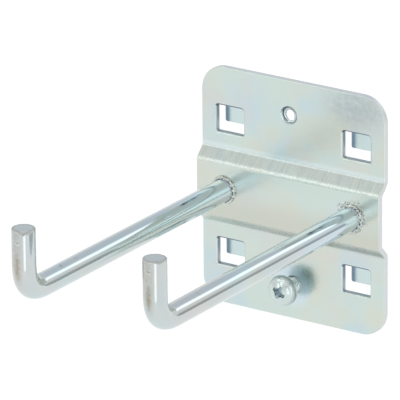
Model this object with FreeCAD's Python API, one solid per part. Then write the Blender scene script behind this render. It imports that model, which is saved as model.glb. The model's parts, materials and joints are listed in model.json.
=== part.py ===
import FreeCAD, Part
import math
import os

V = FreeCAD.Vector

# All sizes are millimetres. X runs right, Y runs back into the panel, Z runs up.
# Y = 0 is the rear face of the plate, the side that meets the panel.

# Sheet and plate outline
sheet = 1.5
plate_w = 55.0
plate_h = 64.0
plate_corner = 6.8
plate_edge_roll = 0.3
fold_inner = 0.6

# Raised channel across the plate, for the full width
channel_step = 2.7
channel_face_h = 14.6
channel_foot_h = 20.2

# Four windows with a lug pressed back out of each
pitch_x = 38.0
pitch_z = 36.0
window_w = 8.2
window_h = 7.1
window_foot_round = 0.3
window_top_round = 0.65
window_edge_roll = 0.55
lug_side_gap = 0.7
lug_corner = 0.5
lug_over_sill = 1.9
panel_sheet = 1.5
panel_clearance = 0.25
lug_fold_inner = 0.5

# Two tapped holes, modelled at the thread's outer size
thread_d = 4.0
thread_clearance = 0.05
lock_hole_x = 0.0
lock_hole_margin = 9.2
spare_hole_x = -1.1
spare_hole_margin = 9.4
entry_d = 5.0
rear_entry_d = 4.5

# Round bars welded to the channel face
rod_d = 6.0
rod_spread = 38.5
rod_reach = 95.0
rod_bend_inner = 3.4
tip_top = 17.2
tip_edge_round = 0.35
weld_flash = 1.1
weld_height = 1.1
tip_flat_deep = 0.16
tip_flat_low = 4.6
tip_flat_high = 11.8

# Locking screw with a domed head and a cross recess
head_d = 8.0
head_h = 3.1
head_side_h = 0.8
head_crown_r = 4.8
head_foot_round = 0.25
shank_len = 5.4
shank_end_chamfer = 0.45
head_standoff = 4.0
recess_d = 4.4
recess_floor_d = 1.9
recess_deep = 2.1
recess_core_d = 2.3
recess_arm_w = 1.05
recess_turn = 28.0

# Sizes that follow from the ones above
face_y = -sheet - channel_step
lug_gap = panel_sheet + panel_clearance
lug_w = window_w - 2 * lug_side_gap
rod_r = rod_d / 2
bend_r = rod_r + rod_bend_inner
tip_y = -rod_reach + rod_r
hole_r = thread_d / 2 + thread_clearance
lock_hole_z = lock_hole_margin - plate_h / 2
spare_hole_z = plate_h / 2 - spare_hole_margin


def turned(path, radii, place, closed=False):
    """Edges along a path of corners, each corner rounded to its radius."""
    count = len(path)
    starts = []
    ends = []
    mids = []
    for i in range(count):
        corner = V(path[i][0], path[i][1], 0)
        last = i == count - 1
        if radii[i] == 0 or (not closed and (i == 0 or last)):
            starts.append(corner)
            ends.append(corner)
            mids.append(None)
            continue
        before = path[i - 1]
        after = path[(i + 1) % count]
        into = (corner - V(before[0], before[1], 0)).normalize()
        away = (V(after[0], after[1], 0) - corner).normalize()
        half = into.getAngle(away) / 2
        back = radii[i] * math.tan(half)
        inward = (away - into).normalize()
        starts.append(corner - into * back)
        ends.append(corner + away * back)
        mids.append(corner + inward * (radii[i] / math.cos(half) - radii[i]))
    edges = []
    for i in range(count):
        if mids[i] is not None:
            arc = Part.Arc(place(starts[i]), place(mids[i]), place(ends[i]))
            edges.append(arc.toShape())
        if i < count - 1 or closed:
            goal = starts[(i + 1) % count]
            if (goal - ends[i]).Length > 1e-6:
                edges.append(Part.makeLine(place(ends[i]), place(goal)))
    return edges


def beside(path, away):
    """The same path moved sideways to its right, with mitred corners."""
    moved = []
    for i in range(len(path)):
        here = V(path[i][0], path[i][1], 0)
        normals = []
        if i > 0:
            step = here - V(path[i - 1][0], path[i - 1][1], 0)
            normals.append(V(step.y, -step.x, 0).normalize())
        if i < len(path) - 1:
            step = V(path[i + 1][0], path[i + 1][1], 0) - here
            normals.append(V(step.y, -step.x, 0).normalize())
        mean = normals[0] + normals[-1]
        mean.normalize()
        reach = away / mean.dot(normals[0])
        moved.append((here.x + mean.x * reach, here.y + mean.y * reach))
    return moved


def folded(path, thick, inner, width, centre_x):
    """Bent sheet: path is its front surface as (y, z), and every fold keeps the sheet's thickness."""
    front_r = [0]
    rear_r = [0]
    for i in range(1, len(path) - 1):
        ay = path[i][0] - path[i - 1][0]
        az = path[i][1] - path[i - 1][1]
        by = path[i + 1][0] - path[i][0]
        bz = path[i + 1][1] - path[i][1]
        if ay * bz - az * by > 0:
            front_r.append(inner)
            rear_r.append(inner + thick)
        else:
            front_r.append(inner + thick)
            rear_r.append(inner)
    front_r.append(0)
    rear_r.append(0)
    rear = beside(path, thick)
    left = centre_x - width / 2

    def place(p):
        return V(left, p.x, p.y)

    edges = turned(path, front_r, place)
    edges.append(Part.makeLine(V(left, *path[-1]), V(left, *rear[-1])))
    edges += turned(rear[::-1], rear_r[::-1], place)
    edges.append(Part.makeLine(V(left, *rear[0]), V(left, *path[0])))
    wire = Part.Wire(Part.__sortEdges__(edges))
    return Part.Face(wire).extrude(V(width, 0, 0))


def prism(corners, radii, y0, y1):
    """Upright outline in X and Z with rounded corners, standing from y0 to y1."""
    edges = turned(corners, radii, lambda p: V(p.x, y0, p.y), closed=True)
    wire = Part.Wire(Part.__sortEdges__(edges))
    return Part.Face(wire).extrude(V(0, y1 - y0, 0))


def box_corners(cx, z0, z1, width):
    """Corners of an upright rectangle, starting at its lower left."""
    half = width / 2
    return [(cx - half, z0), (cx + half, z0), (cx + half, z1), (cx - half, z1)]


def spun(edges, x, z):
    """Solid of revolution about the line along Y through (x, z)."""
    face = Part.Face(Part.Wire(Part.__sortEdges__(edges)))
    return face.revolve(V(x, 0, z), V(0, 1, 0), 360)


def edges_where(shape, keep):
    """Edges of a shape, picked by where their middle lies."""
    picked = []
    for edge in shape.Edges:
        span = edge.LastParameter - edge.FirstParameter
        middle = edge.valueAt(edge.FirstParameter + span / 2)
        if keep(middle, edge):
            picked.append(edge)
    return picked


def back_plate():
    half_w = plate_w / 2
    half_h = plate_h / 2
    path = [
        (-sheet, -half_h),
        (-sheet, -channel_foot_h / 2),
        (face_y, -channel_face_h / 2),
        (face_y, channel_face_h / 2),
        (-sheet, channel_foot_h / 2),
        (-sheet, half_h),
    ]
    plate = folded(path, sheet, fold_inner, plate_w, 0)
    outline = box_corners(0, -half_h, half_h, plate_w)
    plate = plate.common(prism(outline, [plate_corner] * 4, face_y - 1, 1)).removeSplitter()

    # The blanking punch rolls over the front edge of the outline
    inset_w = half_w - plate_corner
    inset_h = half_h - plate_corner

    def on_outline(p, edge):
        corner = math.hypot(max(0, abs(p.x) - inset_w), max(0, abs(p.z) - inset_h))
        at_rim = abs(corner - plate_corner) < 0.01
        return at_rim and front_y(p.z) > p.y - 0.01

    def front_y(z):
        line = Part.makeLine(V(0, face_y - 1, z), V(0, 1, z))
        return min(v.Point.y for v in plate.common(line).Vertexes)

    rim = edges_where(plate, on_outline)
    plate = plate.makeFillet(plate_edge_roll, rim)

    rounds = [window_foot_round, window_foot_round, window_top_round, window_top_round]
    places = [(side, level) for side in (-1, 1) for level in (-1, 1)]
    for side, level in places:
        cx = side * pitch_x / 2
        sill = level * pitch_z / 2 - window_h / 2
        opening = box_corners(cx, sill, sill + window_h, window_w)
        plate = plate.cut(prism(opening, rounds, -sheet - 1, 1))

        def on_window(p, edge):
            wide = abs(p.x - cx) < window_w / 2 + 0.01
            tall = sill - 0.01 < p.z < sill + window_h + 0.01
            return wide and tall and edge.BoundBox.YMax < -sheet + 0.001

        plate = plate.makeFillet(window_edge_roll, edges_where(plate, on_window))

    # Each lug leaves the sheet over its window, runs back past the panel and hangs down behind it
    for side, level in places:
        cx = side * pitch_x / 2
        sill = level * pitch_z / 2 - window_h / 2
        neck = sill + window_h
        low = sill + lug_over_sill
        lug_path = [(lug_gap, low), (lug_gap, neck), (-sheet / 2, neck)]
        lug = folded(lug_path, sheet, lug_fold_inner, lug_w, cx)
        ends = []
        for edge in lug.Edges:
            box = edge.BoundBox
            if box.ZMax < low + 0.01 and box.XLength < 0.01:
                ends.append(edge)
        lug = lug.makeFillet(lug_corner, ends)
        plate = plate.fuse(lug).removeSplitter()

        def on_root(p, edge):
            return abs(p.y) < 0.001 and abs(p.z - neck - sheet) < 0.001 and abs(p.x - cx) < 0.001

        plate = plate.makeFillet(lug_fold_inner, edges_where(plate, on_root))

    front_deep = (entry_d / 2 - hole_r) * 0.9
    rear_deep = rear_entry_d / 2 - hole_r
    for x, z in ((lock_hole_x, lock_hole_z), (spare_hole_x, spare_hole_z)):
        hole = Part.makeCylinder(hole_r, sheet + 2, V(x, -sheet - 1, z), V(0, 1, 0))
        entry = Part.makeCone(entry_d / 2, hole_r, front_deep, V(x, -sheet, z), V(0, 1, 0))
        rear = Part.makeCone(rear_entry_d / 2, hole_r, rear_deep, V(x, 0, z), V(0, -1, 0))
        plate = plate.cut(hole.fuse([entry, rear]))
    return plate.removeSplitter()


def hook(x):
    straight_end = tip_y + bend_r
    arm = Part.makeCylinder(rod_r, face_y - straight_end, V(x, face_y, 0), V(0, -1, 0))
    ring = Part.Wire(Part.makeCircle(rod_r, V(x, straight_end, 0), V(0, 1, 0)))
    elbow = Part.Face(ring).revolve(V(x, straight_end, bend_r), V(1, 0, 0), -90)
    tip = Part.makeCylinder(rod_r, tip_top - bend_r, V(x, tip_y, bend_r))
    rim = [e for e in tip.Edges if e.BoundBox.ZMin > tip_top - 0.01]
    tip = tip.makeFillet(tip_edge_round, rim)

    # Flash squeezed out round the foot of the bar when it was welded
    foot = V(x + rod_r - 1, face_y, 0)
    toe = V(x + rod_r + weld_flash, face_y, 0)
    crest = V(x + rod_r + weld_flash * 0.62, face_y - weld_height * 0.72, 0)
    lip = V(x + rod_r, face_y - weld_height, 0)
    root = V(x + rod_r - 1, face_y - weld_height, 0)
    outline = [
        Part.makeLine(foot, toe),
        Part.Arc(toe, crest, lip).toShape(),
        Part.makeLine(lip, root),
        Part.makeLine(root, foot),
    ]
    flash = spun(outline, x, 0)
    solid = arm.fuse([elbow, tip, flash]).removeSplitter()

    # Shallow flat left by the bending tool on the outside of the tip, fading upward
    length = tip_flat_high - tip_flat_low
    lean = math.degrees(math.atan(tip_flat_deep / length))
    flat = Part.makeBox(rod_d, rod_d, length, V(x - rod_r, tip_y - rod_r - rod_d + tip_flat_deep, tip_flat_low))
    flat.rotate(V(x, tip_y - rod_r + tip_flat_deep, tip_flat_low), V(1, 0, 0), lean)
    return solid.cut(flat)


def lock_screw():
    x = lock_hole_x
    z = lock_hole_z
    seat = -sheet - head_standoff

    def at(r, forward):
        return V(x + r, seat - forward, z)

    head_r = head_d / 2
    shank_r = thread_d / 2
    tip_r = shank_r - shank_end_chamfer
    shoulder_r = head_r * 0.75
    shoulder = head_h - head_crown_r + math.sqrt(head_crown_r ** 2 - shoulder_r ** 2)
    crown_mid_r = shoulder_r / 2
    crown_mid = head_h - head_crown_r + math.sqrt(head_crown_r ** 2 - crown_mid_r ** 2)
    k = head_foot_round
    bite = k * (1 - math.sqrt(0.5))
    outline = [
        Part.makeLine(at(0, -shank_len), at(tip_r, -shank_len)),
        Part.makeLine(at(tip_r, -shank_len), at(shank_r, shank_end_chamfer - shank_len)),
        Part.makeLine(at(shank_r, shank_end_chamfer - shank_len), at(shank_r, 0)),
        Part.makeLine(at(shank_r, 0), at(head_r - k, 0)),
        Part.Arc(at(head_r - k, 0), at(head_r - bite, bite), at(head_r, k)).toShape(),
        Part.makeLine(at(head_r, k), at(head_r, head_side_h)),
        Part.Arc(at(head_r, head_side_h), at(head_r * 0.935, (head_side_h + shoulder) / 2 + 0.14),
                 at(shoulder_r, shoulder)).toShape(),
        Part.Arc(at(shoulder_r, shoulder), at(crown_mid_r, crown_mid), at(0, head_h)).toShape(),
        Part.makeLine(at(0, head_h), at(0, -shank_len)),
    ]
    solid = spun(outline, x, z)

    # Cross recess: four arms inside a cone, and a round core
    top = seat - head_h - 0.3
    deep = recess_deep + 0.3
    forward = V(0, 1, 0)
    mouth = Part.makeCone(recess_d / 2, recess_floor_d / 2, deep, V(x, top, z), forward)
    arms = None
    for spin in (0, 90):
        arm = Part.makeBox(recess_d + 1, deep + 1, recess_arm_w, V(-recess_d / 2 - 0.5, -0.5, -recess_arm_w / 2))
        arm.rotate(V(0, 0, 0), forward, spin + recess_turn)
        arm.translate(V(x, top, z))
        arms = arm if arms is None else arms.fuse(arm)
    core = Part.makeCone(recess_core_d / 2 + 0.15, recess_core_d / 2 - 0.25, deep, V(x, top, z), forward)
    return solid.cut(mouth.common(arms).fuse(core))


os.makedirs("parts", exist_ok=True)
pieces = {
    "back_plate": back_plate(),
    "left_hook": hook(-rod_spread / 2),
    "right_hook": hook(rod_spread / 2),
    "lock_screw": lock_screw(),
}
for name, shape in pieces.items():
    solid = shape.Solids[0]
    print(name, len(shape.Solids), "solid, valid", solid.isValid(), "volume", round(solid.Volume, 1))
    solid.exportStep("parts/" + name + ".step")
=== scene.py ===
"""Looks of a zinc-plated double hook for a perforated panel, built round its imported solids."""

import json
import math

import bmesh
import bpy
from mathutils import Matrix, Vector, noise


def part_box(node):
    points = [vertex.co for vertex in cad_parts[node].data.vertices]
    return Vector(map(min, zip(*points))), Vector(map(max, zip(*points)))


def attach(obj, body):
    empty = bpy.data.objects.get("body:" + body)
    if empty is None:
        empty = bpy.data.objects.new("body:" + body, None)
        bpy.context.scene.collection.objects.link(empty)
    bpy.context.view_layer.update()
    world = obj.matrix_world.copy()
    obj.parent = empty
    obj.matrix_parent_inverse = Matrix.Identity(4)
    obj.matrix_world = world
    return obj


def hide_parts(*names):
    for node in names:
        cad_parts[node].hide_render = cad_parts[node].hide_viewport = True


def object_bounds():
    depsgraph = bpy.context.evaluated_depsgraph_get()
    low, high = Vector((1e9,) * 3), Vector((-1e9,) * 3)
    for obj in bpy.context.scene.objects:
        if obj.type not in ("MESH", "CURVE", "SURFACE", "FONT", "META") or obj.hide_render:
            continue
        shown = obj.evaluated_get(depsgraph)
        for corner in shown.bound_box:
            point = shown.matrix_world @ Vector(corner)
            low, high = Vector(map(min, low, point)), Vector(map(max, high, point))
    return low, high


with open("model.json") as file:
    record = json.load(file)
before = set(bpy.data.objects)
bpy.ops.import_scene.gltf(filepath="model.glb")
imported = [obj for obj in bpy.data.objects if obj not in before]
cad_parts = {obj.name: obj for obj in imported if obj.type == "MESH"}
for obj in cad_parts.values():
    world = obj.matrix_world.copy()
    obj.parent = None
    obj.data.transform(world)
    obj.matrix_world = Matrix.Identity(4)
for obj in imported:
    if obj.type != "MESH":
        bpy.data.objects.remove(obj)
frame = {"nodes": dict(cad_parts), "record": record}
CAD_BOX = [list(corner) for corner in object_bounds()]

bl_info = {
    "name": "Panel hook looks",
    "version": (1, 0, 0),
    "blender": (4, 5, 0),
    "location": "View3D > Sidebar > Panel hook",
    "description": "Bars, welds, screw, threads, zinc finishes and stage for a double panel hook",
    "category": "Object",
}

MM = 0.001
BODY = "holder"
SCREW_BODY = "screw"
HOOKS = ("left_hook", "right_hook")
LUG_PITCH = 38 * MM
BAR_UV = "bar_uv"
SCUFF = "scuff"
SOFT = "SMOOTHSTEP"

BAR_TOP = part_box("left_hook")[1].z
SCREW_LOW, SCREW_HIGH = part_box("lock_screw")
SCREW_AXIS = Vector(((SCREW_LOW.x + SCREW_HIGH.x) / 2, 0, (SCREW_LOW.z + SCREW_HIGH.z) / 2))
HEAD_RADIUS = (SCREW_HIGH.x - SCREW_LOW.x) / 2
SPARE_HOLE = next(m for m in frame["record"]["mounts"] if m["name"] == "spare_thread")
SPARE_X, _, SPARE_Z = SPARE_HOLE["pos_m"]


def hex_colour(code):
    """Linear red, green and blue of an sRGB hex colour."""
    channels = []
    for start in (1, 3, 5):
        value = int(code[start:start + 2], 16) / 255
        channels.append(value / 12.92 if value <= 0.04045 else ((value + 0.055) / 1.055) ** 2.4)
    return tuple(channels)


def add_node(tree, kind, links=None, **settings):
    """Adds a node, sets its settings, and links or sets the inputs given by name or number. A node stands
    for its first output in use, a list for several links to one input, and a colour has no alpha."""
    node = tree.nodes.new(kind)
    for key, value in settings.items():
        setattr(node, key, value)
    for name, given in (links or {}).items():
        socket = node.inputs[name]
        for source in given if isinstance(given, list) else [given]:
            if isinstance(source, bpy.types.Node):
                source = next(output for output in source.outputs if output.enabled)
            if isinstance(source, bpy.types.NodeSocket):
                tree.links.new(source, socket)
            else:
                socket.default_value = (*source, 1.0) if socket.type == "RGBA" else source
    return node


def tint(name, description, code):
    """Colour setting with an sRGB hex colour as its default."""
    return bpy.props.FloatVectorProperty(
        name=name, description=description, subtype="COLOR", size=3, min=0, max=1, default=hex_colour(code))


def length(name, description, default):
    """Length setting with a default in metres."""
    return bpy.props.FloatProperty(name=name, description=description, unit="LENGTH", default=default)


def factor(name, description, default):
    """Setting from 0 to 1."""
    return bpy.props.FloatProperty(
        name=name, description=description, subtype="FACTOR", min=0, max=1, default=default)


def turn(name, description, degrees):
    """Angle setting with a default in degrees."""
    return bpy.props.FloatProperty(
        name=name, description=description, subtype="ANGLE", default=math.radians(degrees))


class ZincSettings(bpy.types.PropertyGroup):
    """Colours and gloss of the zinc plating."""

    sheet: tint("Sheet", "Plating on the pressed sheet", "#CDDAD4")
    blue: tint("Blue film", "Blue-green tint of the clear passivation", "#C3D7DE")
    gold: tint("Gold film", "Faint yellow tint of the clear passivation", "#D5D5C6")
    rose: tint("Rose film", "Faint pink tint of the clear passivation", "#D6CFCB")
    bar: tint("Bar", "Plating on the drawn bars", "#C8D0CF")
    screw: tint("Screw", "Plating on the screw", "#D8E4E2")
    # Painted light: paler, bluer colour towards the bars' feet, which lifts their dark reflection of the
    # plate
    foot: tint("Foot film", "Bluer film on the bars towards their welded feet", "#CDDBE4")
    wash: tint("Wash", "Yellower film where the bath drained down the channel", "#C9CCC0")
    # Painted light: paler colour round the screw that lifts its shade and dark reflection on the plate
    rubbed: tint("Rubbed ring", "Brighter plating round the screw, rubbed by the driver", "#D1DFE6")
    scuff: tint("Scuff", "Thin brownish plating where the bending tool pressed", "#A59F92")
    cut_end: tint("Cut end", "Dull plating on the bars' sheared ends", "#C3CACB")
    sheared: tint("Sheared edge", "Plating on the rough cut edges of the outline", "#D6DADB")
    drawn: tint("Draw line", "Streaks the die wiped down the webs", "#BDC7C5")
    # Painted shade on the lower web, which faces down
    lower_web: tint("Lower web", "Thin grey plating on the lower web", "#B2B9B5")
    handled: tint("Handled corner", "Plating dulled by handling", "#B1BDC2")
    # Painted highlight along the fold above the upper web
    fold_highlight: tint("Fold band", "Bluish plating that the die rubbed along the upper fold", "#DAE8E9")
    punched: tint("Punched wall", "Thin plating on the walls of the windows and holes", "#A9B4BB")
    # Painted shade on the folds at the window heads and round the screw head's rim
    fold_and_rim_shade: tint("Fold", "Stretched plating on the window heads' folds and the screw's rim", "#6A7887")
    # Painted shade down in the tapped thread's grooves
    groove: tint("Thread groove", "Thin plating down in the tapped thread", "#B4BEC1")
    head: tint("Screw head", "Greyer plating on the screw's head", "#CCD8D5")
    # Painted shade down in the screw's cross recess
    recess: tint("Recess", "Thin plating down in the screw's recess", "#C6D2D8")
    # Painted reflection and shade: bluer colour of the lugs in the shaded gap behind the plate
    behind: tint("Lug film", "Bluer film on the lugs behind the plate", "#CCDCDC")
    # Painted shadow that each window's left wall casts on its lug
    shaded: tint("Lug edge", "Darker blue film along the lugs' left edges", "#96A9B9")
    weld: tint("Weld", "Plating over the rough weld metal", "#ECEFEC")
    weld_speck: tint("Weld speck", "Dark specks in the rough weld metal", "#85847A")
    sheet_roughness: factor("Sheet roughness", "Blur of reflections in the sheet", 0.2)
    bar_roughness: factor("Bar roughness", "Blur of reflections in the bars", 0.07)
    screw_roughness: factor("Screw roughness", "Blur of reflections in the screw and the threads", 0.1)
    weld_roughness: factor("Weld roughness", "Blur of reflections in the weld's dark specks", 0.35)


class BarSettings(bpy.types.PropertyGroup):
    """Sizes of the round bars and of the marks on them."""

    diameter: length("Diameter", "Bar diameter", 6 * MM)
    bend_run: length("Bend run", "Length of the bend along the bar's centre line", 13.9 * MM)
    bend_ease: factor("Bend ease", "How gently the bend starts and ends", 0.7)
    rim_round: length("Rim round", "Rounding of the sheared end's rim", 0.35 * MM)
    flat_depth: length("Flat depth", "Depth of the tool's flat on the tip", 0.16 * MM)
    crease_depth: length("Crease depth", "Depth of the wrinkles inside the bend", 0.22 * MM)
    cut_depth: length("Cut depth", "Depth of the roughness on the sheared end", 0.05 * MM)
    around: bpy.props.IntProperty(
        name="Points around", description="Points round the bar", min=16, default=96)


class WeldSettings(bpy.types.PropertyGroup):
    """Sizes of the weld flash round each bar's foot."""

    ring: length("Ring", "Radius of the flash ring's centre line", 3.3 * MM)
    bead: length("Bead", "Radius of the flash bead", 0.24 * MM)
    lift: length("Lift", "Bead's centre line in front of the channel's face", 0.3 * MM)
    rough: length("Roughness", "Height of the bead's lumps", 0.9 * MM)
    grain: length("Grain", "Radius of the spatter grains", 0.21 * MM)
    spatter: length("Spatter", "Radius round the bar that the spatter reaches", 5.0 * MM)
    grains: bpy.props.IntProperty(
        name="Grains", description="Spatter grains in each ring", min=0, default=240)
    seed: bpy.props.IntProperty(
        name="Seed", description="Fixed seed of the grains", default=7)


class ThreadSettings(bpy.types.PropertyGroup):
    """Sizes of the M4 thread on the screw and in the spare hole."""

    pitch: length("Pitch", "Thread pitch", 0.7 * MM)
    outer: length("Outer diameter", "Over the screw's crests", 3.96 * MM)
    root: length("Root diameter", "At the bottom of the screw's thread", 3.14 * MM)
    bore: length("Bore", "Inside the crests of the tapped hole", 3.0 * MM)
    foot_width: length("Foot width", "Width of a thread ridge at its foot", 0.62 * MM)
    crest: length("Crest", "Width of the screw's crests", 0.1 * MM)
    bore_crest: length("Bore crest", "Width of the tapped hole's crests", 0.12 * MM)
    screw_sink: length("Screw sink", "How far the screw's ridge sinks into its core", 0.02 * MM)
    bore_sink: length("Bore sink", "How far the tapped ridge sinks into the hole's wall", 0.05 * MM)
    core_sink: length("Core sink", "How far the core reaches into the head", 0.3 * MM)
    start_gap: length("Start gap", "From the head's seat to the thread's first turn", 0.3 * MM)
    run_out: length("Run-out", "Length of shank without a thread", 0.75 * MM)


class StageSettings(bpy.types.PropertyGroup):
    """Camera and studio."""

    azimuth: turn("Azimuth", "Camera to the right of the front", 33.893)
    elevation: turn("Elevation", "Camera above the horizon", 20.101)
    roll: turn("Roll", "Turn of the camera about its line of sight", -0.503)
    distance: length("Distance", "From the camera to its target", 1.579619)
    lens: bpy.props.FloatProperty(name="Lens", description="Focal length", unit="CAMERA", default=560.47)
    aim_right: length("Aim right", "Target to the right of the frame's origin", -24.337 * MM)
    aim_up: length("Aim up", "Target above the frame's origin", -0.048 * MM)
    floor: tint("Floor", "Floor colour", "#F6F6F6")
    floor_drop: length("Floor drop", "Floor below the lowest point", 300 * MM)
    floor_size: length("Floor size", "Half the floor's width", 6.0)
    floor_glow: factor("Floor glow", "Light that the floor gives by itself", 0.17)
    tent: factor("Tent", "Brightness of the light tent between its soft panels", 0.9)


def directions(tree, coordinates):
    """Place and facing along each axis, by name; a name with either counts both directions alike."""
    found = {}
    for label, vector in (("", coordinates["Object"]), ("facing_", coordinates["Normal"])):
        size = add_node(tree, "ShaderNodeVectorMath", {0: vector}, operation="ABSOLUTE")
        for sign, source in (("", vector), ("either_", size)):
            split = add_node(tree, "ShaderNodeSeparateXYZ", {"Vector": source})
            found.update({sign + label + axis: split.outputs[axis.upper()] for axis in "xyz"})
    return found


def gap(tree, value, level):
    """How far a value is from a level, either way."""
    beyond = add_node(tree, "ShaderNodeMath", {0: value, 1: level}, operation="SUBTRACT")
    return add_node(tree, "ShaderNodeMath", {0: beyond}, operation="ABSOLUTE")


def off_axis(tree, place, axis):
    """Distance of each point from a line along Y."""
    level = add_node(tree, "ShaderNodeVectorMath", {0: place, 1: (1, 0, 1)}, operation="MULTIPLY")
    return add_node(tree, "ShaderNodeVectorMath", {0: level, 1: axis}, operation="DISTANCE")


# What a mask's row may leave out: its least and most share, and its easing
PLAIN_MASK = (0.0, 1.0, "LINEAR")


def graded(tree, table, sources):
    """Masks over a piece, by name. A row of the table says what its mask is read from, which can be a mask
    further up, the values where it starts and is full, its least and most share, and its easing."""
    masks = dict(sources)
    for name, row in table.items():
        source, start, full, least, most, easing = (*row, *PLAIN_MASK[len(row) - 3:])
        masks[name] = add_node(tree, "ShaderNodeMapRange", {
            "Value": masks[source], "From Min": start, "From Max": full, "To Min": least, "To Max": most},
            interpolation_type=easing)
    return masks


def overlap(tree, masks, *names):
    """Product of the named masks, which is full only where they all are."""
    product = masks[names[0]]
    for name in names[1:]:
        product = add_node(tree, "ShaderNodeMath", {0: product, 1: masks[name]}, operation="MULTIPLY")
    return product


def coated(tree, colour, layers):
    """Colour with the colour of each layer laid over it in turn, by the layer's mask."""
    for mask, coat in layers:
        colour = add_node(tree, "ShaderNodeMix", {0: mask, 6: colour, 7: coat}, data_type="RGBA")
    return colour


def raised(tree, value, parts):
    """Value changed by the amount of each part where the part's mask is full."""
    for mask, amount in parts:
        value = add_node(tree, "ShaderNodeMath", {0: mask, 1: amount, 2: value}, operation="MULTIPLY_ADD")
    return value


def film_colour(tree, place, zinc, base, size, strength, shifts=(0.0, 0.31, 0.67)):
    """Base colour with soft clouds of blue, gold and rose film, each about size metres across."""
    layers = []
    for film_and_shade, shift, part in zip((zinc.blue, zinc.gold, zinc.rose), shifts, (1.0, 0.8, 0.5)):
        moved = add_node(tree, "ShaderNodeMapping", {"Vector": place, "Location": (shift, shift, shift)})
        cloud = add_node(tree, "ShaderNodeTexNoise", {
            "Vector": moved, "Scale": 1 / size, "Detail": 2.0, "Roughness": 0.55})
        share = add_node(tree, "ShaderNodeMapRange", {
            "Value": cloud, "From Min": 0.45, "From Max": 0.7, "To Max": strength * part},
            interpolation_type=SOFT)
        layers.append((share, film_and_shade))
    return coated(tree, base, layers)


SHEET_MASKS = {
    "front_side": ("facing_y", 0.2, -0.2),
    "die_side": ("front_side", 0.0, 1.0, 0.2, 1.0),
    # Wash on the channel's face
    "drained": ("z", 2 * MM, -6 * MM, 0.0, 0.85, SOFT),
    "on_channel": ("y", -2.8 * MM, -3.8 * MM),
    # Draw lines and frost on the webs
    "web": ("off_web", 1.9 * MM, 1.2 * MM, 0.0, 1.0, SOFT),
    "line_share": ("web", 0.0, 1.0, 0.06, 0.5),
    "wiped": ("lines", 0.35, 0.62, 0.0, 0.8),
    "upper": ("z", -1 * MM, 1 * MM, 0.25, 1.0),
    "frost": ("either_facing_z", 0.05, 0.3),
    "lower_web": ("off_lower_web", 1.5 * MM, 0.2 * MM),
    "to_right": ("x", -26 * MM, 14 * MM, 0.2, 1.0),
    # Painted highlight along the fold above the upper web
    "band": ("off_fold", 1.1 * MM, 0.2 * MM, 0.0, 0.6, SOFT),
    # Handling, and painted light round the screw
    "corner": ("off_corner", 13 * MM, 2 * MM, 0.0, 1.0, SOFT),
    "blotch": ("blotches", 0.36, 0.64, 0.25, 0.9),
    "rubbed": ("off_screw", 6.8 * MM, 3.8 * MM, 0.0, 1.0, SOFT),
    # Cut edges, window walls and lugs
    "behind": ("y", -0.2 * MM, 0.3 * MM),
    "in_plate": ("y", 0.3 * MM, -0.2 * MM),
    "plate_cut": ("either_facing_y", 0.55, 0.2),
    "lug_cut": ("either_facing_x", 0.6, 0.9),
    "off_sides": ("either_x", 26 * MM, 25 * MM),
    "off_ends": ("either_z", 30 * MM, 29 * MM),
    "off_screw_hole": ("off_screw", 2.5 * MM, 2.9 * MM),
    "looking_down": ("facing_z", -0.1, -0.35),
    "off_channel": ("either_z", 12 * MM, 13 * MM),
    "lug_left": ("across_lug", LUG_PITCH / 2 - 1.4 * MM, LUG_PITCH / 2 - 3.0 * MM, 0.0, 1.0, SOFT),
    "plate_side": ("facing_y", -0.6, -0.9),
}
# Heights of the webs' middles, of the lower web's painted shade and of the fold above the upper web
WEB_MIDDLE = 8.8 * MM
LOWER_WEB_MIDDLE = -9.2 * MM
FOLD_LEVEL = 10.8 * MM
# The handled corner: its middle, and how much flatter than wide it is
CORNER_X, CORNER_Z, CORNER_SQUASH = 18 * MM, 28.5 * MM, 1.8


def sheet_masks(tree, coordinates, lines):
    """Masks of the pressed sheet, by name."""
    place = coordinates["Object"]
    sources = directions(tree, coordinates)
    corner = add_node(tree, "ShaderNodeMapping", {
        "Vector": place, "Scale": (1.0, 0.0, CORNER_SQUASH),
        "Location": (-CORNER_X, 0.0, -CORNER_SQUASH * CORNER_Z)})
    blotches = add_node(tree, "ShaderNodeTexNoise", {
        "Vector": place, "Scale": 1 / (1.6 * MM), "Detail": 3.0, "Roughness": 0.65})
    return graded(tree, SHEET_MASKS, {
        **sources, "lines": lines, "blotches": blotches,
        "off_web": gap(tree, sources["either_z"], WEB_MIDDLE),
        "off_lower_web": gap(tree, sources["z"], LOWER_WEB_MIDDLE),
        "off_fold": gap(tree, sources["z"], FOLD_LEVEL),
        "off_corner": add_node(tree, "ShaderNodeVectorMath", {0: corner}, operation="LENGTH"),
        "off_screw": off_axis(tree, place, SCREW_AXIS),
        "across_lug": add_node(tree, "ShaderNodeMath", {
            0: sources["x"], 1: LUG_PITCH}, operation="FLOORED_MODULO")})


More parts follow.
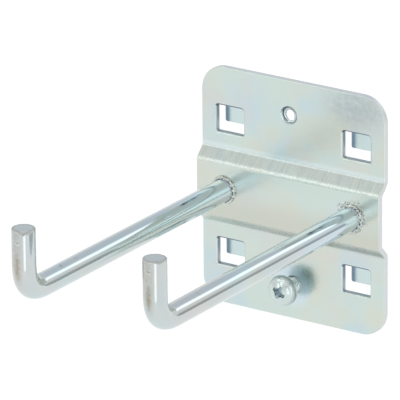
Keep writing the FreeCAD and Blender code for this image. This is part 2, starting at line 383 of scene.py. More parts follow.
def sheet_zinc(tree, coordinates, zinc):
    """Electroplated zinc on cold-rolled pressed sheet: a satin mirror with soft clouds of passivation
    colour, faint rolling lines, and draw lines across the two webs where the die wiped the sheet."""
    place = coordinates["Object"]
    # Draw lines 0.35 mm wide run down the web, and rolling lines lie the same way on the flats
    stretched = add_node(tree, "ShaderNodeMapping", {
        "Vector": place, "Scale": (1 / (0.35 * MM), 1 / (6 * MM), 1 / (6 * MM))})
    lines = add_node(tree, "ShaderNodeTexNoise", {
        "Vector": stretched, "Scale": 1.0, "Detail": 3.0, "Roughness": 0.65})
    grit = add_node(tree, "ShaderNodeTexNoise", {"Vector": place, "Scale": 1 / (0.45 * MM), "Detail": 2.0})
    masks = sheet_masks(tree, coordinates, lines)
    rubbed = overlap(tree, masks, "rubbed", "front_side")
    colour = film_colour(tree, place, zinc, zinc.sheet, 16 * MM, 0.85, (0.98, 0.87, 0.29))
    colour = coated(tree, colour, [
        # The bath drained to the lower half of the channel's face and left a yellower film there
        (overlap(tree, masks, "drained", "on_channel"), zinc.wash),
        (overlap(tree, masks, "wiped", "web", "upper", "die_side"), zinc.drawn),
        # Painted shade: the lower web, which faces down, is greyer along its middle, most of all to the
        # right
        (overlap(tree, masks, "lower_web", "to_right", "front_side"), zinc.lower_web),
        # Handling has dulled the upper right corner in soft blotches
        (overlap(tree, masks, "corner", "blotch", "front_side"), zinc.handled),
        # Painted highlight: a pale bluish band along the fold above the upper web
        (overlap(tree, masks, "band", "front_side"), zinc.fold_highlight),
        # Painted light: the plate is paler round the screw, where the screw's shade and dark reflection
        # fall, and it is rougher there
        (rubbed, zinc.rubbed)])
    # Cut edges face away from Y on the plate and along X on the lugs behind it
    cut = add_node(tree, "ShaderNodeMix", {
        0: masks["behind"], 2: masks["plate_cut"], 3: masks["lug_cut"]}, data_type="FLOAT")
    # The outline's edges stay pale. The walls of windows and holes are dark and torn, apart from the screw's
    # hole, whose wall is left pale as painted light in the dark gap round the shank
    masks["punched"] = overlap(tree, masks, "off_sides", "off_ends", "in_plate", "off_screw_hole")
    edge = coated(tree, zinc.sheared, [(masks["punched"], zinc.punched)])
    # Painted reflection and shade: the lugs behind the plate are bluer, and painted shadow darkens each lug
    # along its left edge, where the window's left wall shades it
    film_and_shade = coated(tree, zinc.behind, [(overlap(tree, masks, "lug_left", "plate_side"), zinc.shaded)])
    # Painted shade: the sheet turns back into each lug over a fold at the window's head, darkened where it
    # faces down
    fold = overlap(tree, masks, "looking_down", "off_channel", "punched")
    colour = coated(tree, colour, [(masks["behind"], film_and_shade), (cut, edge), (fold, zinc.fold_and_rim_shade)])
    # Folding has roughened the skin of the webs and of the folds beside them
    relief = add_node(tree, "ShaderNodeMix", {0: masks["line_share"], 2: grit, 3: lines}, data_type="FLOAT")
    depth = raised(tree, 0.025, [(overlap(tree, masks, "frost", "die_side"), 0.97)])
    bump = add_node(tree, "ShaderNodeBump", {"Height": relief, "Strength": depth, "Distance": 0.15 * MM})
    rough = raised(tree, zinc.sheet_roughness, [
        (masks["web"], 0.05), (grit, 0.06), (rubbed, 0.08), (cut, 0.2)])
    return {"Base Color": colour, "Roughness": rough, "Normal": bump}


BAR_MASKS = {
    "near_foot": ("y", -48 * MM, -16 * MM, 0.0, 0.75, SOFT),
    "uneven": ("patches", 0.3, 0.6, 0.55, 1.1),
    "level": ("facing_z", 0.75, 0.95),
    "at_top": ("z", BAR_TOP - 1.6 * MM, BAR_TOP - 1.2 * MM),
}


def bar_zinc(tree, coordinates, zinc):
    """Electroplated zinc on cold-drawn bar: brighter and smoother than the sheet, with long draw lines,
    and a dull brownish patch where the bending tool rubbed the tip."""
    place = coordinates["Object"]
    # Draw lines 0.3 mm wide and 25 mm long follow the bar round its bend
    along = add_node(tree, "ShaderNodeUVMap", uv_map=BAR_UV)
    stretched = add_node(tree, "ShaderNodeMapping", {
        "Vector": along, "Scale": (1 / (0.3 * MM), 1 / (25 * MM), 1.0)})
    lines = add_node(tree, "ShaderNodeTexNoise", {
        "Vector": stretched, "Scale": 1.0, "Detail": 3.0, "Roughness": 0.6})
    patches = add_node(tree, "ShaderNodeTexNoise", {"Vector": place, "Scale": 1 / (0.7 * MM), "Detail": 3.0})
    masks = graded(tree, BAR_MASKS, {**directions(tree, coordinates), "patches": patches})
    scuff = add_node(tree, "ShaderNodeAttribute", attribute_name=SCUFF).outputs["Fac"]
    worn = add_node(tree, "ShaderNodeMath", {
        0: scuff, 1: masks["uneven"]}, operation="MULTIPLY", use_clamp=True)
    # The sheared end is duller than the drawn skin
    cut_end = overlap(tree, masks, "level", "at_top")
    colour = film_colour(tree, place, zinc, zinc.bar, 22 * MM, 0.85)
    # Painted light: the bars are paler and bluer towards their feet, where they reflect the plate
    colour = coated(tree, colour, [
        (masks["near_foot"], zinc.foot), (cut_end, zinc.cut_end), (worn, zinc.scuff)])
    rough = raised(tree, zinc.bar_roughness, [(lines, 0.05), (worn, 0.25), (cut_end, 0.28)])
    bump = add_node(tree, "ShaderNodeBump", {"Height": lines, "Strength": 0.25, "Distance": 0.02 * MM})
    return {"Base Color": colour, "Roughness": rough, "Normal": bump}


WELD_MASKS = {"bright": ("speck", 0.37, 0.48)}


def weld_zinc(tree, coordinates, zinc):
    """Zinc over rough flash-weld metal: small bright and dark specks, duller than the bar."""
    speck = add_node(tree, "ShaderNodeTexNoise", {
        "Vector": coordinates["Object"], "Scale": 1 / (0.3 * MM), "Detail": 2.0})
    masks = graded(tree, WELD_MASKS, {"speck": speck})
    colour = coated(tree, zinc.weld_speck, [(masks["bright"], zinc.weld)])
    rough = raised(tree, zinc.weld_roughness, [(speck, -0.2)])
    bump = add_node(tree, "ShaderNodeBump", {"Height": speck, "Strength": 0.4, "Distance": 0.1 * MM})
    return {"Base Color": colour, "Roughness": rough, "Normal": bump}


SCREW_MASKS = {
    "near_axis": ("off_axis", 2.4 * MM, 2.2 * MM),
    "deep": ("y", SCREW_LOW.y + 0.55 * MM, SCREW_LOW.y + 1.1 * MM),
    "head": ("y", SCREW_LOW.y + 2.6 * MM, SCREW_LOW.y + 2.4 * MM),
    # Painted shade round the head's rim
    "rim": ("off_axis", HEAD_RADIUS - 0.7 * MM, HEAD_RADIUS, 0.0, 0.45),
}


def screw_zinc(tree, coordinates, zinc):
    """Zinc on a cold-headed screw: bright and smooth, with a faint film and small handling marks."""
    place = coordinates["Object"]
    masks = graded(tree, SCREW_MASKS, {
        **directions(tree, coordinates), "off_axis": off_axis(tree, place, SCREW_AXIS)})
    # The head is greyer than the shank, and painted shade darkens its rim
    head = coated(tree, zinc.head, [(masks["rim"], zinc.fold_and_rim_shade)])
    # Painted shade: darker down in the cross recess, which is also rougher
    sunk = overlap(tree, masks, "near_axis", "deep", "head")
    colour = film_colour(tree, place, zinc, zinc.screw, 5 * MM, 0.35)
    colour = coated(tree, colour, [(masks["head"], head), (sunk, zinc.recess)])
    marks = add_node(tree, "ShaderNodeTexNoise", {"Vector": place, "Scale": 1 / (0.5 * MM), "Detail": 3.0})
    rough = raised(tree, zinc.screw_roughness, [(marks, 0.14), (sunk, 0.25)])
    bump = add_node(tree, "ShaderNodeBump", {"Height": marks, "Strength": 0.12, "Distance": 0.04 * MM})
    return {"Base Color": colour, "Roughness": rough, "Normal": bump}


TAPPED_MASKS = {"groove": ("off_axis", 1.62 * MM, 1.95 * MM)}


def tapped_zinc(tree, coordinates, zinc):
    """Zinc in a tapped thread: bright crests between grooves darkened by painted shade, which are also
    rougher.
    """
    axis = (SPARE_X, 0, SPARE_Z)
    masks = graded(tree, TAPPED_MASKS, {"off_axis": off_axis(tree, coordinates["Object"], axis)})
    # Painted shade darkens the grooves
    colour = coated(tree, zinc.screw, [(masks["groove"], zinc.groove)])
    rough = raised(tree, zinc.screw_roughness, [(masks["groove"], 0.2)])
    return {"Base Color": colour, "Roughness": rough}


FINISHES = {
    "Zinc_plated_pressed_sheet": sheet_zinc,
    "Zinc_plated_drawn_bar": bar_zinc,
    "Zinc_plated_weld_metal": weld_zinc,
    "Zinc_plated_headed_screw": screw_zinc,
    "Zinc_plated_tapped_thread": tapped_zinc,
}


def finish(name):
    """The metallic finish of that name, made when first asked for."""
    found = bpy.data.materials.get(name)
    if found:
        return found
    material = bpy.data.materials.new(name)
    material.use_nodes = True
    tree = material.node_tree
    tree.nodes.clear()
    coordinates = add_node(tree, "ShaderNodeTexCoord").outputs
    looks = FINISHES[name](tree, coordinates, bpy.context.scene.hook_zinc)
    surface = add_node(tree, "ShaderNodeBsdfPrincipled", {"Metallic": 1.0, **looks})
    add_node(tree, "ShaderNodeOutputMaterial", {"Surface": surface})
    return material


def new_piece(name, mesh, body):
    """Object for a finished mesh, riding on a body."""
    piece = bpy.data.objects.new(name, mesh)
    bpy.context.scene.collection.objects.link(piece)
    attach(piece, body)
    return piece


def mesh_from(build, name):
    """Mesh of that name from a finished bmesh, which is freed."""
    mesh = bpy.data.meshes.new(name)
    build.to_mesh(mesh)
    build.free()
    return mesh


def grown_mesh(name, tree, values):
    """Mesh that a geometry tree gives for the named input values."""
    host = bpy.data.objects.new(name, bpy.data.meshes.new(name + "_host"))
    bpy.context.scene.collection.objects.link(host)
    grower = host.modifiers.new("grow", "NODES")
    grower.node_group = tree
    for item in tree.interface.items_tree:
        if item.in_out == "INPUT" and item.name in values:
            grower[item.identifier] = values[item.name]
    graph = bpy.context.evaluated_depsgraph_get()
    mesh = bpy.data.meshes.new_from_object(host.evaluated_get(graph))
    if not mesh.polygons:
        raise RuntimeError(name + ": the geometry tree gave no faces")
    bpy.data.objects.remove(host)
    mesh.materials.clear()
    mesh.materials.append(values["Material"])
    return mesh


def geometry_tree(name, inputs):
    """Empty geometry tree with inputs named by kind, and the sockets that give them."""
    tree = bpy.data.node_groups.new(name, "GeometryNodeTree")
    for kind, labels in inputs.items():
        for label in labels:
            tree.interface.new_socket(label, in_out="INPUT", socket_type="NodeSocket" + kind)
    tree.interface.new_socket("Geometry", in_out="OUTPUT", socket_type="NodeSocketGeometry")
    return tree, add_node(tree, "NodeGroupInput").outputs


def close_tree(tree, geometry, place, turned, material):
    """Lays the geometry in place, then ends its tree in Realize Instances and Set Material."""
    laid = add_node(tree, "GeometryNodeTransform", {
        "Geometry": geometry, "Translation": place, "Rotation": (math.radians(turned), 0, 0)})
    real = add_node(tree, "GeometryNodeRealizeInstances", {"Geometry": laid})
    dressed = add_node(tree, "GeometryNodeSetMaterial", {"Geometry": real, "Material": material})
    add_node(tree, "NodeGroupOutput", {"Geometry": dressed})


# Corners of a thread ridge's section: the width they lie at, shares of the ridge's height and of that width
RIDGE_CORNERS = [
    ("Foot width", 0.0, -0.5), ("Foot width", 0.0, 0.5),
    ("Crest width", -1.0, 0.5), ("Crest width", -1.0, -0.5),
]


def thread_tree():
    """Geometry tree for a thread: a ridge of trapezoid section along a helix about Y."""
    found = bpy.data.node_groups.get("thread_ridge")
    if found:
        return found
    tree, given = geometry_tree("thread_ridge", {
        "Float": ("Turns", "Pitch", "Foot radius", "Ridge height", "Foot width", "Crest width"),
        "Vector": ("Start",), "Material": ("Material",)})
    rise = add_node(tree, "ShaderNodeMath", {0: given["Turns"], 1: given["Pitch"]}, operation="MULTIPLY")
    helix = add_node(tree, "GeometryNodeCurveSpiral", {
        "Resolution": 64, "Rotations": given["Turns"], "Start Radius": given["Foot radius"],
        "End Radius": given["Foot radius"], "Height": rise})
    upright = add_node(tree, "GeometryNodeSetCurveNormal", {"Curve": helix}, mode="Z_UP")
    corners = {}
    for point, (width, out, side) in enumerate(RIDGE_CORNERS, start=1):
        across = add_node(tree, "ShaderNodeMath", {0: given[width], 1: side}, operation="MULTIPLY")
        height = add_node(tree, "ShaderNodeMath", {0: given["Ridge height"], 1: out}, operation="MULTIPLY")
        corners[f"Point {point}"] = add_node(tree, "ShaderNodeCombineXYZ", {"X": height, "Y": across})
    section = add_node(tree, "GeometryNodeCurvePrimitiveQuadrilateral", corners, mode="POINTS")
    ridge = add_node(tree, "GeometryNodeCurveToMesh", {
        "Curve": upright, "Profile Curve": section, "Fill Caps": True})
    close_tree(tree, ridge, given["Start"], -90, given["Material"])
    return tree


# Grains to a square metre of the bead and of the face beside it, before they thin out
BEAD_GRAINS = 9.0e6
FACE_GRAINS = 8.5e6
# Share of the bead's lift by which the spatter lies lower, down on the channel's face
SPATTER_DROP = -0.68
FULL_TURN = (6.28, 6.28, 6.28)
# How far apart two seeds' lumps lie in the noise
SEED_STEP = 1.7


def weld_tree():
    """Geometry tree for weld flash: a lumpy bead round a bar's foot, with grains stuck on and round it."""
    tree, given = geometry_tree("weld_flash", {
        "Float": ("Ring radius", "Bead radius", "Lump height", "Grain radius", "Spatter radius", "Lift"),
        "Int": ("Grains", "Seed"), "Vector": ("Foot",), "Material": ("Material",)})
    ring = add_node(tree, "GeometryNodeCurvePrimitiveCircle", {
        "Resolution": 220, "Radius": given["Ring radius"]})
    section = add_node(tree, "GeometryNodeCurvePrimitiveCircle", {
        "Resolution": 18, "Radius": given["Bead radius"]})
    bead = add_node(tree, "GeometryNodeCurveToMesh", {"Curve": ring, "Profile Curve": section})
    seed = add_node(tree, "ShaderNodeMath", {0: given["Seed"], 1: SEED_STEP}, operation="MULTIPLY")
    lumps = add_node(tree, "ShaderNodeTexNoise", {
        "W": seed, "Scale": 1 / (0.55 * MM), "Detail": 2.0, "Roughness": 0.7}, noise_dimensions="4D")
    # Noise from 0 to 1 becomes a push from one lump height inward to one outward
    high = add_node(tree, "ShaderNodeMath", {0: lumps, 1: 0.5}, operation="SUBTRACT")
    for stretch in (given["Lump height"], 2.0):
        high = add_node(tree, "ShaderNodeMath", {0: high, 1: stretch}, operation="MULTIPLY")
    facing = add_node(tree, "GeometryNodeInputNormal")
    push = add_node(tree, "ShaderNodeVectorMath", {0: facing, "Scale": high}, operation="SCALE")
    lumpy = add_node(tree, "GeometryNodeSetPosition", {"Geometry": bead, "Offset": push})
    seats = add_node(tree, "GeometryNodeDistributePointsOnFaces", {
        "Mesh": lumpy, "Density": BEAD_GRAINS, "Seed": given["Seed"]})
    index = add_node(tree, "GeometryNodeInputIndex")
    extra = add_node(tree, "FunctionNodeCompare", {
        2: index, 3: given["Grains"]}, data_type="INT", operation="GREATER_EQUAL")
    seats = add_node(tree, "GeometryNodeDeleteGeometry", {
        "Geometry": seats, "Selection": extra}, domain="POINT")
    # Spatter thins out over the channel's face round the bead
    disc = add_node(tree, "GeometryNodeMeshCircle", {
        "Vertices": 64, "Radius": given["Spatter radius"]}, fill_type="NGON")
    disc = add_node(tree, "GeometryNodeTriangulate", {"Mesh": disc})
    disc = add_node(tree, "GeometryNodeSubdivideMesh", {"Mesh": disc, "Level": 4})
    spot = add_node(tree, "GeometryNodeInputPosition")
    out = add_node(tree, "ShaderNodeVectorMath", {0: spot}, operation="LENGTH")
    thin = add_node(tree, "ShaderNodeMapRange", {
        "Value": out, "From Min": given["Ring radius"], "From Max": given["Spatter radius"],
        "To Min": FACE_GRAINS, "To Max": 0.0})
    clear = add_node(tree, "ShaderNodeMath", {0: out, 1: given["Ring radius"]}, operation="GREATER_THAN")
    thin = add_node(tree, "ShaderNodeMath", {0: thin, 1: clear}, operation="MULTIPLY")
    flung = add_node(tree, "GeometryNodeDistributePointsOnFaces", {
        "Mesh": disc, "Density": thin, "Seed": given["Seed"]})
    down = add_node(tree, "ShaderNodeMath", {0: given["Lift"], 1: SPATTER_DROP}, operation="MULTIPLY")
    down = add_node(tree, "ShaderNodeCombineXYZ", {"Z": down})
    flung = add_node(tree, "GeometryNodeSetPosition", {"Geometry": flung, "Offset": down})
    seats = add_node(tree, "GeometryNodeJoinGeometry", {0: [seats, flung]})
    grain = add_node(tree, "GeometryNodeMeshIcoSphere", {"Radius": given["Grain radius"], "Subdivisions": 1})
    size = add_node(tree, "FunctionNodeRandomValue", {
        2: 0.45, 3: 1.15, "Seed": given["Seed"]}, data_type="FLOAT")
    tumble = add_node(tree, "FunctionNodeRandomValue", {
        0: (0.0, 0.0, 0.0), 1: FULL_TURN, "Seed": given["Seed"]}, data_type="FLOAT_VECTOR")
    grains = add_node(tree, "GeometryNodeInstanceOnPoints", {
        "Points": seats, "Instance": grain, "Rotation": tumble, "Scale": size})
    joined = add_node(tree, "GeometryNodeJoinGeometry", {0: [lumpy, grains]})
    close_tree(tree, joined, given["Foot"], 90, given["Material"])
    return tree


# Marks on each tip: distance below the end, turn from the outer side, half length, half width, depth
TIP_MARKS = {
    "left_hook": [(3.3, 0.0, 0.26, 0.75, 0.32), (6.4, 8.0, 1.2, 0.6, 0.06), (2.3, -14.0, 0.5, 0.3, 0.08)],
    "right_hook": [(3.0, -2.0, 0.28, 0.65, 0.32), (2.2, 18.0, 0.5, 0.25, 0.22), (6.8, 6.0, 1.1, 0.5, 0.06)],
}
# Chips in each end's rim: turn from the outer side, half width, depth
RIM_CHIPS = {
    "left_hook": [(32.0, 0.8, 0.75), (56.0, 0.6, 0.4), (10.0, 0.5, 0.2)],
    "right_hook": [(8.0, 0.6, 0.3), (58.0, 0.8, 0.35), (35.0, 0.5, 0.15)],
}
# Pits on each arm: distance from the foot, turn from the outer side, half length, half width, depth
ARM_PITS = {
    "left_hook": [(73.4, 166.0, 0.45, 0.4, 0.25), (67.0, 163.0, 0.6, 0.3, 0.1)],
    "right_hook": [(71.0, 160.0, 0.5, 0.3, 0.08)],
}
# A pit this deep, in mm, shows bare dull metal
FULL_PIT = 0.25
# Share of the spatter's reach at each weld, for the left one threw less
SPATTER = {"left_hook": 0.8, "right_hook": 1.0}
# Wrinkles inside the bend: place along it from 0 to 1, half length in mm, share of the crease depth
CREASES = [(0.2, 0.35, 1.0), (0.8, 0.35, 0.8), (0.5, 0.9, -0.25)]
# About the bend's length along its inner side, in mm
BEND_INSIDE = 8.0
# The tool's flat, in mm below the end: where it starts, how far it deepens, where it fades and how softly
FLAT_START, FLAT_DEEPENS, FLAT_END, FLAT_FADE = 4.6, 4.0, 10.2, 1.6
# Degrees to either side of the bar's outer line that the flat can take up, and half its worn width in mm
FLAT_SIDES, FLAT_WORN = 30, 0.9
# Rubbing on the tip: strength, mm to one side, half width, where it ends below the tip's end, how softly
RUB, RUB_SIDE, RUB_HALF, RUB_END, RUB_FADE = 0.5, 0.4, 2.0, 8.5, 3.0
# How far below the end, in mm, its rim is worn, chipped and rough
RIM_WORN, RIM_CHIPPED, RIM_ROUGH = 0.4, 0.35, 0.5
# Steps of the rim's roughness round the bar, down it and from bar to bar
RIM_NOISE = (5, 1.5, 900)
# Grain of the sheared end
END_GRAIN = 0.5 * MM
# Rings of points along the arm, the bend, the tip and the end's rim, and rings inward across the end
ARM_RINGS, BEND_RINGS, TIP_RINGS, RIM_RINGS = 170, 72, 90, 5
END_RINGS = (0.82, 0.6, 0.36, 0.14)
# Run along the skin from one ring of the rim to the next
RIM_STEP = 0.1 * MM


def hump(distance, half):
    """Smooth bump that is 1 at 0 and nearly 0 past two halves."""
    return math.exp(-(distance / half) ** 2)


def eased_turn(share, ease):
    """Angle turned after a share of the bend, which starts and ends more gently than its middle."""
    return math.pi / 2 * (share - ease * math.sin(2 * math.pi * share) / (2 * math.pi))


def bar_stations(bar, foot_y, tip_y, top_z):
    """Centre, inward direction, run, part and share of each ring of points along a bar, foot first."""
    stations = []

    def add_ring(y, z, angle, run, part, share):
        inward = Vector((0, math.sin(angle), math.cos(angle)))
        stations.append((Vector((0, y, z)), inward, run, part, share))

    step = bar.bend_run / BEND_RINGS
    ahead, up = [0.0], [0.0]
    for i in range(BEND_RINGS):
        angle = eased_turn((i + 0.5) / BEND_RINGS, bar.bend_ease)
        ahead.append(ahead[-1] + step * math.cos(angle))
        up.append(up[-1] + step * math.sin(angle))
    bend_y = tip_y + ahead[-1]
    arm = foot_y - bend_y
    for i in range(ARM_RINGS):
        run = arm * i / ARM_RINGS
        add_ring(foot_y - run, 0, 0, run, "arm", i / ARM_RINGS)
    for i in range(BEND_RINGS):
        share = i / BEND_RINGS
        add_ring(bend_y - ahead[i], up[i], eased_turn(share, bar.bend_ease), arm + step * i, "bend", share)
    upright = math.pi / 2
    straight = top_z - bar.rim_round - up[-1]
    for i in range(TIP_RINGS + 1):
        rise = straight * i / TIP_RINGS
        add_ring(tip_y, up[-1] + rise, upright, arm + bar.bend_run + rise, "tip", i / TIP_RINGS)
    for i in range(1, RIM_RINGS + 1):
        lift = upright * i / RIM_RINGS
        z = top_z - bar.rim_round * (1 - math.sin(lift))
        add_ring(tip_y, z, upright, stations[-1][2] + RIM_STEP, "rim", lift)
    return stations


def arm_skin(name, run, off_outer, radius):
    """Reach and wear of the arm's skin with its pits."""
    reach, worn = radius, 0.0
    for where, turned, half_long, half_wide, deep in ARM_PITS[name]:
        beside = math.radians(off_outer + turned) * radius / MM
        pit = hump(run / MM - where, half_long) * hump(beside, half_wide)
        reach -= deep * MM * pit
        worn = max(worn, pit * min(1.0, deep / FULL_PIT))
    return reach, worn


def tip_skin(name, bar, reach, below, off_outer):
    """Reach, drop and wear of the skin so many mm below the end: nicks, tool's flat, rubbing and chips."""
    radius = bar.diameter / 2
    for down, turned, half_long, half_wide, deep in TIP_MARKS[name]:
        beside = math.radians(off_outer + turned) * radius / MM
        reach -= deep * MM * hump(below - down, half_long) * hump(beside, half_wide)
    side = math.radians(off_outer) * radius / MM
    lean = min(1.0, max(0.0, (below - FLAT_START) / FLAT_DEEPENS))
    lean *= hump(max(0.0, below - FLAT_END), FLAT_FADE)
    if abs(off_outer) < FLAT_SIDES and lean > 0.01:
        reach = min(reach, (radius - bar.flat_depth * lean) / math.cos(math.radians(off_outer)))
    rubbed = RUB * hump(side - RUB_SIDE, RUB_HALF) * hump(max(0.0, below - RUB_END), RUB_FADE)
    worn = max(lean ** 0.5 * hump(side, FLAT_WORN), rubbed, RUB * hump(below, RIM_WORN))
    drop = 0.0
    for turned, half_wide, deep in RIM_CHIPS[name]:
        beside = math.radians(off_outer + turned) * radius / MM
        drop += deep * MM * hump(beside, half_wide) * hump(max(0.0, below - RIM_CHIPPED), RIM_CHIPPED)
    return reach, drop, worn


def bar_point(name, bar, x, top_z, full_run, station, angle):
    """Place and wear of one point of a bar's skin, at an angle round one of its stations."""
    centre, inward, run, part, share = station
    radius = reach = bar.diameter / 2
    drop = worn = 0.0
    off_outer = math.degrees(angle) - 180
    if part == "arm":
        reach, worn = arm_skin(name, run, off_outer, radius)
    else:
        if part == "rim":
            reach -= bar.rim_round * (1 - math.cos(share))
        if part == "bend":
            inner = max(0.0, math.cos(angle)) ** 3
            for where, half, deep in CREASES:
                reach -= bar.crease_depth * deep * inner * hump((share - where) * BEND_INSIDE, half)
        below = ((top_z - centre.z) if part == "rim" else (full_run - run)) / MM
        reach, drop, worn = tip_skin(name, bar, reach, below, off_outer)
        rough = noise.noise(Vector((angle, below, x)) * Vector(RIM_NOISE))
        drop += bar.cut_depth * rough * hump(below, RIM_ROUGH)
    across = Vector((x + reach * math.sin(angle), 0, -drop))
    return centre + inward * (reach * math.cos(angle)) + across, worn


def bar_mesh(name, bar, x, foot_y, tip_y, top_z):
    """Round bar with a tight bend, wrinkles inside it, tool marks on the tip and a chipped sheared end."""
    build = bmesh.new()
    uv = build.loops.layers.uv.new(BAR_UV)
    scuff = build.verts.layers.float.new(SCUFF)
    stations = bar_stations(bar, foot_y, tip_y, top_z)
    full_run = stations[-1 - RIM_RINGS][2] + bar.rim_round
    rings = []
    for station in stations:
        ring = []
        for j in range(bar.around):
            angle = 2 * math.pi * j / bar.around
            point, worn = bar_point(name, bar, x, top_z, full_run, station, angle)
            vert = build.verts.new(point)
            vert[scuff] = worn
            ring.append(vert)
        rings.append(ring)
    for i in range(len(rings) - 1):
        for j in range(bar.around):
            k = (j + 1) % bar.around
            face = build.faces.new((rings[i][j], rings[i][k], rings[i + 1][k], rings[i + 1][j]))
            face.smooth = True
            spots = ((j, i), (j + 1, i), (j + 1, i + 1), (j, i + 1))
            for loop, (column, row) in zip(face.loops, spots):
                loop[uv].uv = (column / bar.around * math.pi * bar.diameter, stations[row][2])
    # The sheared end: rings inward to the middle, a little rough
    last = inner = rings[-1]
    centre = sum((v.co for v in last), Vector()) / len(last)
    for step in END_RINGS:
        ring = []
        for vert in last:
            flat = centre.lerp(vert.co, step)
            flat.z = top_z + bar.cut_depth * (noise.noise(flat / END_GRAIN) - 1) * step
            ring.append(build.verts.new(flat))
        for j in range(bar.around):
            k = (j + 1) % bar.around
            build.faces.new((inner[j], inner[k], ring[k], ring[j])).smooth = True
        inner = ring
    build.faces.new(inner)
    build.faces.new(list(reversed(rings[0])))
    bmesh.ops.recalc_face_normals(build, faces=build.faces)
    return mesh_from(build, name.replace("hook", "bar"))


# Points this close are one, and faces this far past the head's seat belong to the shank
SAME_POINT = 0.002 * MM
PAST_SEAT = 0.001 * MM
# Points this far outside the thread belong to the head
HEAD_MARGIN = 0.1 * MM
SHARP_EDGE = math.radians(30)


def screw_mesh(thread):
    """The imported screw's own head on a plain core at the thread's root, and where the head's seat is."""
    build = bmesh.new()
    build.from_mesh(frame["nodes"]["lock_screw"].data)
    bmesh.ops.remove_doubles(build, verts=build.verts, dist=SAME_POINT)
    shank_r = thread.outer / 2 + HEAD_MARGIN
    seat = max(v.co.y for v in build.verts if (v.co - SCREW_AXIS - Vector((0, v.co.y, 0))).length > shank_r)
    shank = [f for f in build.faces if f.calc_center_median().y > seat + PAST_SEAT]
    bmesh.ops.delete(build, geom=shank, context="FACES")
    bmesh.ops.holes_fill(build, edges=[e for e in build.edges if e.is_boundary], sides=0)
    for face in build.faces:
        face.smooth = True
    for edge in build.edges:
        if len(edge.link_faces) == 2 and edge.calc_face_angle() > SHARP_EDGE:
            edge.smooth = False
    start = seat - thread.core_sink
    middle = Matrix.Translation((SCREW_AXIS.x, (SCREW_HIGH.y + start) / 2, SCREW_AXIS.z))
    core = bmesh.ops.create_cone(
        build, cap_ends=True, segments=64, radius1=thread.root / 2, radius2=thread.root / 2,
        depth=SCREW_HIGH.y - start, matrix=middle @ Matrix.Rotation(math.radians(90), 4, "X"))
    for face in {f for v in core["verts"] for f in v.link_faces}:
        face.smooth = len(face.verts) == 4
    return mesh_from(build, "locking_screw"), seat


class HOOK_OT_plate(bpy.types.Operator):
    """Give the pressed plate its zinc finish"""

    bl_idname = "hook.plate"
    bl_label = "Plate"

    def execute(self, context):
        plate = frame["nodes"]["back_plate"]
        plate.data.materials.clear()
        plate.data.materials.append(finish("Zinc_plated_pressed_sheet"))
        return {"FINISHED"}


class HOOK_OT_bars(bpy.types.Operator):
    """Build the two bent bars with their tool marks"""

    bl_idname = "hook.bars"
    bl_label = "Bars"

    def execute(self, context):
        bar = context.scene.hook_bar
        for name in HOOKS:
            low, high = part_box(name)
            mesh = bar_mesh(name, bar, (low.x + high.x) / 2, high.y, low.y + bar.diameter / 2, high.z)
            mesh.materials.append(finish("Zinc_plated_drawn_bar"))
            piece = new_piece(name.replace("hook", "bar"), mesh, BODY)
            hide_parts(name)
        return {"FINISHED"}


class HOOK_OT_welds(bpy.types.Operator):
    """Grow the rough weld flash round the bars' feet"""

    bl_idname = "hook.welds"
    bl_label = "Weld flash"

    def execute(self, context):
        weld = context.scene.hook_weld
        tree = weld_tree()
        for i, name in enumerate(HOOKS):
            low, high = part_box(name)
            mesh = grown_mesh(name + "_weld", tree, {
                "Ring radius": weld.ring, "Bead radius": weld.bead, "Lump height": weld.rough,
                "Grain radius": weld.grain, "Grains": weld.grains, "Lift": weld.lift,
                "Spatter radius": weld.spatter * SPATTER[name], "Seed": weld.seed + i,
                "Foot": ((low.x + high.x) / 2, high.y - weld.lift, 0.0),
                "Material": finish("Zinc_plated_weld_metal")})
            new_piece(name.replace("hook", "weld"), mesh, BODY)
        return {"FINISHED"}


class HOOK_OT_screw(bpy.types.Operator):
    """Build the locking screw: the headed blank's own head on a threaded shank"""

    bl_idname = "hook.screw"
    bl_label = "Locking screw"

    def execute(self, context):
        thread = context.scene.hook_thread
        mesh, seat = screw_mesh(thread)
        mesh.materials.append(finish("Zinc_plated_headed_screw"))
        ridge = grown_mesh("screw_thread", thread_tree(), {
            "Turns": (SCREW_HIGH.y - seat - thread.run_out) / thread.pitch, "Pitch": thread.pitch,
            "Foot radius": thread.root / 2 - thread.screw_sink,
            "Ridge height": (thread.outer - thread.root) / 2 + thread.screw_sink,
            "Foot width": thread.foot_width, "Crest width": thread.crest,
            "Start": (SCREW_AXIS.x, seat + thread.start_gap, SCREW_AXIS.z),
            "Material": finish("Zinc_plated_headed_screw")})
        piece = new_piece("locking_screw", mesh, SCREW_BODY)
        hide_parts("lock_screw")
        new_piece("locking_screw_thread", ridge, SCREW_BODY)
        return {"FINISHED"}


# Turns of the spare hole's ridge, where it starts, and the planes where the hole's entries cut it off
SPARE_TURNS = 3.0
SPARE_START = -1.8 * MM
SPARE_CUTS = ((-1.25 * MM, -1), (-0.08 * MM, 1))


